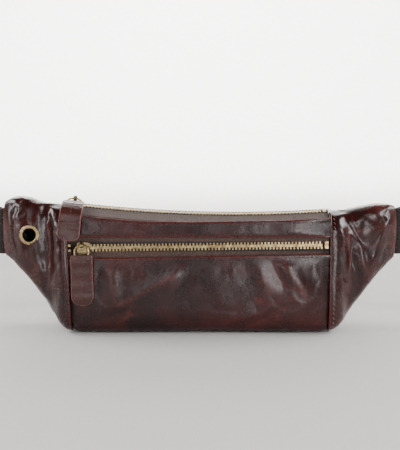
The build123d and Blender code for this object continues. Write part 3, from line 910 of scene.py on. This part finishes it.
def wing_leather(name, side, stations, creases, nodes):
    """One wing as a closed tube of leather, its tip turned in on the strap."""
    sections = smooth_line(stations, 90)
    reach = stations[-1][0]
    cache = {}

    def place(u, v):
        distance = u * (reach + TURNED_IN)
        if u not in cache:
            cache[u] = wing_section(sections, distance, reach)
        y, z = at_share(cache[u], v)
        out = min(distance, reach) - max(0.0, distance - reach)
        start = seam_x(side, z)
        x = start + side * out
        if side < 0:
            x += (out / reach) * (SEAM_TIP_LEFT - start)
        bow = 1.6 * (1 - ((z - 85) / 24) ** 2) if 61 < z < 109 else 0.0
        x += side * bow * max(0.0, (out - 40) / (reach - 40))
        height = 0.7 * sum(h * stroke(distance, z, a, b, w) for a, b, w, h in creases)
        height += 0.5 * wobble(x, y, z, 24, 2.2) + 0.2 * wobble(x, y, z, 9, 5.2)
        if side < 0:
            height *= 1 - bump_at(from_eyelet(x, z), 0, 10.5)
        free = min(1.0, distance / 3.0) * clipped((reach - distance) / 4.0)
        edge = min(1.0, abs(y - MIDDLE_Y) / 4.0)
        y += (1 if y > MIDDLE_Y else -1) * free * edge * height
        return (x, y, z)

    obj = grid(name, 54, 96, place)
    weld(obj)
    freedom = []
    for x, y, z in points_of(obj):
        distance = past_seam(side, x, z)
        room = ramp(distance, 3, 12) * ramp(reach - distance, 3, 10)
        if side < 0 and y < 0:
            room *= ramp(from_eyelet(x, z), 9.5, 16)
        freedom.append(room)
    settle(obj, freedom, excess=0.013, cap=0.8, bending=9.0)
    refine(obj)
    folds, crease_and_highlight_marks = [], []
    for x, y, z in points_of(obj):
        distance = past_seam(side, x, z)
        at_seam = math.exp(-(distance / 0.9) ** 2)
        at_tip = 0.55 * math.exp(-((distance - reach) / 2.0) ** 2)
        folds.append(max(at_seam, at_tip))
        strength = sum(abs(h) * stroke(distance, z, a, b, w * 0.4) for a, b, w, h in creases)
        # painted highlight: the right wing's lit top, drawn as a lighter red patch
        warm = 0.8 * bump_at(z, 106, 6) * bump_at(distance, 44, 14) if side > 0 else 0
        crease_and_highlight_marks.append(min(1.0, 0.25 * strength + warm) if y < 0 else 0)
    mark_wear_and_highlight(obj, folds, crease_and_highlight_marks, 0.4)
    if side < 0:
        cut_eyelet_hole(obj)
        obj.data.flip_normals()
    return finish_piece(obj, WING_LEATHER, "leather", *nodes)


def cut_eyelet_hole(obj):
    """Takes out the front faces inside the eyelet."""
    def cut(shape):
        inside = []
        for face in shape.faces:
            x, y, z = face.calc_center_median() / MM
            if y < 0 and from_eyelet(x, z) < EYELET_CUT:
                inside.append(face)
        bmesh.ops.delete(shape, geom=inside, context="FACES")

    edit_mesh(obj, cut)


# ---- seams, webbing, lining and pulls ----
EDGE_SIDES = 12


def seam_edge(name, side, stations, node):
    """The folded edge of leather that stands up round an end seam."""
    low, high, front, back, _ = station_at(stations, 0)
    halves = []
    for shape, depth, sign in ((BODY_FRONT, front, -1), (BODY_BACK, back, 1)):
        outline = [(MIDDLE_Y + sign * depth * y, low + (high - low) * z) for y, z in shape]
        halves.append(smooth_line(outline, 120))
    loop = np.vstack([halves[0], halves[1][::-1][1:-1]])
    count = len(loop)
    points = []
    for i, (y, z) in enumerate(loop):
        tangent = loop[(i + 1) % count] - loop[i - 1]
        out = np.array([-tangent[1], tangent[0]]) / np.linalg.norm(tangent)
        if out @ (loop[i] - np.array([MIDDLE_Y, 50])) < 0:
            out = -out
        corner = bump_at(math.hypot(y + 12, z - high), 0, 7) if side > 0 else 0
        x = seam_x(side, z) + side * 0.1 + 0.15 * wobble(0, y, z, 9, 2.0)
        swell = 1 + 0.12 * wobble(0, y, z, 6, 9.0)
        for k in range(EDGE_SIDES):
            angle = 2 * math.pi * k / EDGE_SIDES
            across = (0.85 + 0.7 * corner) * math.cos(angle) * swell
            rise = (0.62 + 0.6 * corner) * math.sin(angle) * swell + 0.2 + 0.7 * corner
            points.append((x + across, y + out[0] * rise, z + out[1] * rise))
    obj = mesh_object(name, points, tube_faces(count, EDGE_SIDES, closed=True))
    mark_wear_and_highlight(obj, 0.35, 0, 0.4)
    return finish_piece(obj, WING_LEATHER, "leather", node)


def strap_height(side, x, y):
    """Height of the strap's middle: it falls with the distance taken slantwise back and inwards."""
    u = -side * math.sin(SLANT) * (x - side * TURN_X) + math.cos(SLANT) * y
    return float(np.interp(u, [p[0] for p in FALL], [p[1] for p in FALL]))


def webbing(name, side, bar_x, tail, node):
    """One half of the strap, woven flat, turned back round its bar in the buckle."""
    way = -side
    inner_y, outer_y = STRAP_Y - LOOP / 2, STRAP_Y + LOOP / 2
    tip = bar_x + way * LOOP / 2
    corners = [(side * 147, -0.4), (side * TURN_X, -0.4), (side * 177, 50), (side * 105, inner_y),
               (tip, inner_y), (tip, outer_y), (bar_x - way * tail, outer_y)]
    bend = LOOP / 2 - 0.02
    line = rounded_route(corners, [9, 35, 60, bend, bend], 0.7)
    along = distances(line)
    across = list(np.linspace(-1, 1, 33))
    points, woven = [], []
    for i, (x, y) in enumerate(line):
        tangent = line[min(i + 1, len(line) - 1)] - line[max(i - 1, 0)]
        tangent /= np.linalg.norm(tangent)
        out = np.array([-tangent[1], tangent[0]]) * side
        middle = strap_height(side, x, y)
        for sign, shares in ((-1, across), (1, across[::-1])):
            for share in shares:
                selvedge = 0.12 * bump_at(abs(share), 0.93, 0.03) - 0.45 * abs(share) ** 10
                shift = WEB_THICK / 2 + sign * (WEB_THICK / 2 - 0.08 + selvedge)
                height = middle + share * (WEB_WIDTH / 2 - 0.05)
                points.append((x + out[0] * shift, y + out[1] * shift, height))
                woven.append((along[i], share * WEB_WIDTH / 2, 0))
    obj = mesh_object(name, points, tube_faces(len(line), 2 * len(across)))
    layer = obj.data.attributes.new("weave", "FLOAT_VECTOR", "POINT")
    layer.data.foreach_set("vector", np.array(woven, float).ravel())
    finish_piece(obj, WEBBING, "webbing", node, body="root" if side < 0 else None)
    if side > 0:
        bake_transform(obj)


def lining_sheet(name, outline, node, top_follows_zip):
    """A fabric lining, sewn in along its edges and a little loose between them."""
    line = smooth_line(outline, 121)

    def place(u, v):
        x = LINING_LEFT + LINING_LENGTH * u
        y, z = at_share(line, v)
        if top_follows_zip and z > 60:
            z += zip_rise(x) * (z - 60) / 26
        inward = 1 if y < 0 else -1
        return (x, y + inward * (0.1 + 0.25 * wobble(x, y, z, 22, 3.0)), z)

    obj = grid(name, 160, 120, place)
    solid = obj.modifiers.new("thickness", "SOLIDIFY")
    solid.thickness = 0.4 * MM
    solid.offset = -1
    solid.use_rim = True
    return finish_piece(obj, LINING, "lining", node)


def half_width(along, length, end_radius):
    """Half of a pull tab's width at a distance from its top fold."""
    full = TAB_WIDTH / 2
    past = along - (length - end_radius)
    if past > 0:
        return full - end_radius + math.sqrt(max(0.0, end_radius ** 2 - past ** 2))
    top = max(0.0, 3.0 - along) / 3.0
    return full - 1.6 * top ** 2 - 0.3 * math.sin(math.pi * along / (length - end_radius))


def route_normal(route, k):
    """The unit normal of a pull's (v, w) route at its point k, on the side away from the bag."""
    tangent = route[min(k + 1, len(route) - 1)] - route[max(k - 1, 0)]
    out = np.array([-tangent[1], tangent[0]]) / np.linalg.norm(tangent)
    return -out if out[1] < 0 else out


TAB_SIDES = 56
LOOP_STEPS = 36
# (share of the loop's width, radius about the ring's bar)
LOOP_PROFILE = [(-0.5, 0.86), (-0.5, 1.7), (-0.46, 1.88), (0.46, 1.88), (0.5, 1.7), (0.5, 0.86)]


def tab_loop(name, put, bar, body):
    """The narrow neck of leather round the ring's bar."""
    points = []
    for k in range(LOOP_STEPS):
        angle = 2 * math.pi * k / LOOP_STEPS
        for share, radius in LOOP_PROFILE:
            v = bar[0] + radius * math.cos(angle)
            points.append(put(share * TAB_NECK, v, bar[1] + radius * math.sin(angle)))
    loop = mesh_object(name, points, tube_faces(LOOP_STEPS, len(LOOP_PROFILE), closed=True))
    mark_wear_and_highlight(loop, 0.25, 0, 0.2)
    finish_piece(loop, PULL_LEATHER, "pull_leather", body=body)


def pull_tab(name, place, slider_x, bar, corners, radii, end_radius, dents, body):
    """A leather pull: its front layer folds down over the ring's bar, two layers sewn down the middle."""
    bar_v, bar_w = bar
    top = [(bar_v + TAB_FOLD, bar_w + 1.5), (bar_v - 1.4, bar_w + 1.55)]
    route = rounded_route([*top, *corners], [4, *radii], 0.35)
    along = distances(route)
    length = along[-1]
    points, edge = [], []

    def put(u, v, w):
        return place(slider_x, BAIL_U + u, v, w)

    for k, (v, w) in enumerate(route):
        half = half_width(along[k], length, end_radius)
        from_end = min(length - along[k], along[k])
        thick = TAB_THICK / 2 * (min(1.0, 0.35 + from_end / 0.9) ** 0.5)
        thick = thick * (0.52 + 0.4 * ramp(along[k], 3.6, 7.0))
        out = route_normal(route, k)
        for i in range(TAB_SIDES):
            angle = 2 * math.pi * (i + 0.5) / TAB_SIDES
            c, sn = math.cos(angle), math.sin(angle)
            u = half * math.copysign(abs(c) ** 0.22, c)
            rise = thick * math.copysign(abs(sn) ** 0.35, sn)
            if sn > 0:
                rise += 0.22 * wobble(u, v, w, 6, 3.0 + slider_x) + 0.1 * wobble(u, v, w, 2.2, 1.0)
                rise += sum(h * bump_at(along[k] + lean * u, at, width) for at, width, h, lean in dents)
                rise -= 0.28 * bump_at(u, 0, 1.4) * bump_at(along[k], length / 2, length * 0.42)
            points.append(put(u, v + out[0] * rise, w + out[1] * rise))
            edge.append(max(bump_at(abs(u), half, 0.55), bump_at(along[k], length, 0.6)))
    obj = mesh_object(name, points, tube_faces(len(route), TAB_SIDES))
    mark_wear_and_highlight(obj, edge, 0, 0.2)
    finish_piece(obj, PULL_LEATHER, "pull_leather", body, body=body)
    tab_loop(name + "_loop", put, bar, body)

    surface = surface_of(obj)
    spots = []
    for k, (v, w) in enumerate(route):
        if not TAB_SEWN_FROM < along[k] < length - TAB_SEWN_END:
            continue
        out = route_normal(route, k)
        here = Vector(put(0, v, w))
        way = here - Vector(put(0, v + out[0] * 5, w + out[1] * 5))
        hit, normal, _, _ = surface.ray_cast(here - way, way)
        if hit is not None:
            spots.append((np.array(hit), np.array(facing(normal, way))))
    stitch_row(name + "_stitches", spots, TAB_THREAD, *TAB_STITCH, body=body)


pocket = pocket_leather()
band = band_leather()
back = back_leather()
left_wing = wing_leather("left_wing_leather", -1, LEFT_STATIONS, LEFT_CREASES,
                         ("left_wing_front", "left_wing_back"))
right_wing = wing_leather("right_wing_leather", 1, RIGHT_STATIONS, RIGHT_CREASES,
                          ("right_wing_front", "right_wing_back"))
seam_edge("left_seam_edge", -1, LEFT_STATIONS, "left_seam_binding")
seam_edge("right_seam_edge", 1, RIGHT_STATIONS, "right_seam_binding")
webbing("left_web", -1, -31.0, 28, "left_webbing")
webbing("right_web", 1, 17.0, 60, "right_webbing")
main_outline = [
    (-13.4, 86), (-13.4, 40), (-13.3, 9), (-10, 3.6), (0, 3.2),
    (12, 3.4), (16.2, 8), (16.8, 40), (16.6, 60), (12.3, 84),
]
pocket_outline = [(-15.3, 78.5), (-15.3, 50), (-15.2, 25), (-15.2, 4.5)]
lining_sheet("main_lining_cloth", main_outline, "main_lining", True)
lining_sheet("pocket_lining_cloth", pocket_outline, "pocket_lining", False)

# each pull: its route past the bar, the route's bends, its end's radius and its dents
# as (distance, width, height, lean)
half_tab = TAB_THICK / 2
pull_tab("pocket_pull_leather", on_pocket, POCKET_SLIDER_X, bar_place(POCKET_BAR_W),
         [(-13.5, 6.0 + half_tab), (-30, 5.9 + half_tab), (-47.0, 5.4 + half_tab)], [20, 90], 8.6,
         [(36, 3.5, 0.35, 0.06), (22, 4.0, -0.3, -0.05), (8, 2.5, 0.2, 0.0)], "pocket_pull_tab")
pull_tab("main_pull_leather", on_main, MAIN_SLIDER_X, bar_place(MAIN_BAR_W),
         [(-24.55, 2.6 + half_tab), (-31.84, -19.1)], [7.3], 6.5,
         [(26, 0.8, -0.3, 0.15), (28.5, 0.9, 0.25, 0.1), (31.5, 0.8, -0.3, -0.2), (36, 3.0, 0.3, 0.1)],
         "main_pull_tab")

# rows of stitches along the panels: each row's name, panel, height at X, and the way it is seen
ROWS = (
    ("pocket_edge_stitches", pocket, lambda x: pocket_edge(x) - 2.6, AHEAD),
    ("band_lower_stitches", band, lambda x: BAND_BOTTOM + 2.3, AHEAD),
    ("band_upper_stitches", band, lambda x: band_top(x) - 2.7, AHEAD),
    ("back_lower_stitches", back, lambda x: 13.5, BACKWARD),
    ("back_upper_stitches", back, lambda x: 91.0 + zip_rise(x), BACKWARD),
)
for row_name, piece, height_at, way in ROWS:
    spots = seen_from(surface_of(piece), [(x, 0, height_at(x)) for x in np.arange(-108.0, 105.5, 0.8)], way)
    stitch_row(row_name, spots, DARK_THREAD, *FINE_STITCH)
for wing_name, wing, side, thread_kind, size in (("left", left_wing, -1, DARK_THREAD, 0.34),
                                                 ("right", right_wing, 1, BOLD_THREAD, 0.42)):
    skin = surface_of(wing)
    line = [(seam_x(side, z) + side * 3.0, 0, z) for z in np.arange(5.0, 99.0, 0.6)]
    for face, way in (("front", AHEAD), ("rear", BACKWARD)):
        stitch_row(f"{wing_name}_seam_{face}_stitches", seen_from(skin, line, way), thread_kind,
                   length=2.9, gap=1.3, radius=size, slant=0.5 * side)


# ---- CAD pieces that stay ----
def refinish(obj, material, edge=0.0):
    """Gives a CAD part its finish and, for a hard part, edges that are a little worn round."""
    obj.data.materials.clear()
    obj.data.materials.append(material)
    if edge:
        bevel = obj.modifiers.new("edge", "BEVEL")
        bevel.width = edge * MM
        bevel.segments = 2
        bevel.limit_method = "ANGLE"


for node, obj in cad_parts.items():
    if node in TAPE_FABRICS:
        refinish(obj, TAPE_FABRICS[node])
    elif "teeth" in node or "stop" in node:
        refinish(obj, BRASS, 0.18)
    elif "slider" in node:
        # the sliders take the darker brass copy, painted shade
        refinish(obj, SHADED_BRASS, 0.3)
    elif "ring" in node or "eyelet" in node:
        refinish(obj, BRASS, 0.3)
    elif "buckle" in node or "keeper" in node:
        refinish(obj, PLASTIC, 0.6)


# ---- stage, light and camera ----
FLOOR_FRONT = 330.0        # the floor ends this far in front, so that the leather does not mirror it
FLOOR_FLAT = 1800.0
FLOOR_BEND = 900.0
FLOOR_DROP = 0.05
FLOOR_WIDTH = 9000.0
BACKDROP_HEIGHT = 2500.0


def sweep_profile(v):
    """The floor's section: flat, then curved up behind into a backdrop."""
    bend = FLOOR_BEND * math.pi / 2
    run = v * (FLOOR_FLAT + bend + BACKDROP_HEIGHT)
    far = FLOOR_FLAT - FLOOR_FRONT
    if run < FLOOR_FLAT:
        return run - FLOOR_FRONT, -FLOOR_DROP
    if run < FLOOR_FLAT + bend:
        angle = (run - FLOOR_FLAT) / FLOOR_BEND
        return far + FLOOR_BEND * math.sin(angle), FLOOR_BEND * (1 - math.cos(angle)) - FLOOR_DROP
    return far + FLOOR_BEND, FLOOR_BEND + run - FLOOR_FLAT - bend


def pale_floor():
    r = Recipe("pale_floor")
    r.set(Base_Color=(0.56, 0.545, 0.53, 1), Roughness=0.9)
    return r.material


def studio_world():
    """Gives the bag little light. Seen past the floor's front edge, the studio is pale."""
    world = bpy.data.worlds.new("studio")
    world.use_nodes = True
    tree = world.node_tree
    soft = tree.nodes["Background"]
    pale = tree.nodes.new("ShaderNodeBackground")
    for sky, colour, strength in ((soft, (0.95, 0.97, 1.0), 0.02), (pale, (1.0, 0.99, 0.98), 0.85)):
        sky.inputs["Color"].default_value = (*colour, 1)
        sky.inputs["Strength"].default_value = strength
    ray = tree.nodes.new("ShaderNodeLightPath")
    either = tree.nodes.new("ShaderNodeMixShader")
    tree.links.new(ray.outputs["Is Camera Ray"], either.inputs[0])
    tree.links.new(soft.outputs[0], either.inputs[1])
    tree.links.new(pale.outputs[0], either.inputs[2])
    tree.links.new(either.outputs[0], tree.nodes["World Output"].inputs["Surface"])
    return world


def soft_light(name, place, aim, size, power):
    """A rectangular lamp: place and aim in millimetres, size in metres, power in watts."""
    data = bpy.data.lights.new(name, "AREA")
    data.shape = "RECTANGLE"
    data.size, data.size_y = size
    data.energy = power
    lamp = bpy.data.objects.new(name, data)
    lamp.location = Vector(place) * MM
    lamp.rotation_euler = (Vector(aim) * MM - lamp.location).to_track_quat("-Z", "Y").to_euler()
    bpy.context.collection.objects.link(lamp)


floor = grid("floor", 4, 60, lambda u, v: ((u - 0.5) * FLOOR_WIDTH, *sweep_profile(v)))
floor.data.materials.append(pale_floor())
bpy.context.scene.world = studio_world()
# two lamps over the bag, one on the backdrop, and four tall narrow ones that the leather mirrors
for side in (-1, 1):
    soft_light(f"top_{side}", (side * 1250, 250, 1050), (side * 60, 150, 0), (0.9, 0.5), 22)
soft_light("back_wash", (0, 1100, 1300), (0, 2370, 665), (2.5, 0.8), 340)
soft_light("left_soft", (-240, -990, 100), (-60, 0, 60), (0.08, 0.9), 1.8)
soft_light("right_soft", (270, -990, 100), (60, 0, 60), (0.10, 0.9), 6.2)
soft_light("left_side", (-850, -380, 340), (-140, 0, 80), (0.12, 0.5), 6.0)
soft_light("right_side", (850, -420, 380), (140, 0, 80), (0.14, 0.5), 7.0)

TARGET = Vector((0, -18, 91)) * MM
DISTANCE = 0.870
ELEVATION = math.radians(8.0)
lens = bpy.data.cameras.new("camera")
lens.lens = 84.9
lens.clip_start = 0.05
camera = bpy.data.objects.new("camera", lens)
camera.location = TARGET + DISTANCE * Vector((0, -math.cos(ELEVATION), math.sin(ELEVATION)))
camera.rotation_euler = (TARGET - camera.location).to_track_quat("-Z", "Y").to_euler()
bpy.context.collection.objects.link(camera)
bpy.context.scene.camera = camera
